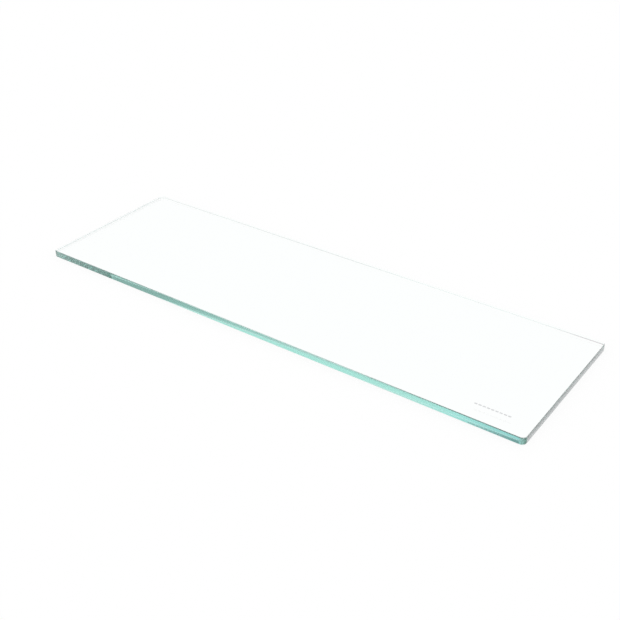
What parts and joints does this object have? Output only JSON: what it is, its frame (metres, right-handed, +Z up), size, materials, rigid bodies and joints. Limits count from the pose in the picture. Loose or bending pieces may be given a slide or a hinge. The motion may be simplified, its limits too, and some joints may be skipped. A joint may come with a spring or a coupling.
{
  "type": "refrigerator door glass",
  "caption": "Flat clear glass pane for a refrigerator's sliding door: a long rectangle with rounded corners, polished long edges, satin ground ends and small arrises.",
  "frame": {"origin": "middle of the underside of the pane as it lies flat", "axes": "+X along the length, +Y across the width, +Z up through the thickness"},
  "size_m": [0.46, 0.14, 0.006],
  "materials": {
    "clear_glass": "clear float glass, toughened, long edges polished, ends ground to a satin grey"
  },
  "bodies": {
    "root": {"glass_pane": "clear_glass"}
  },
  "joints": []
}
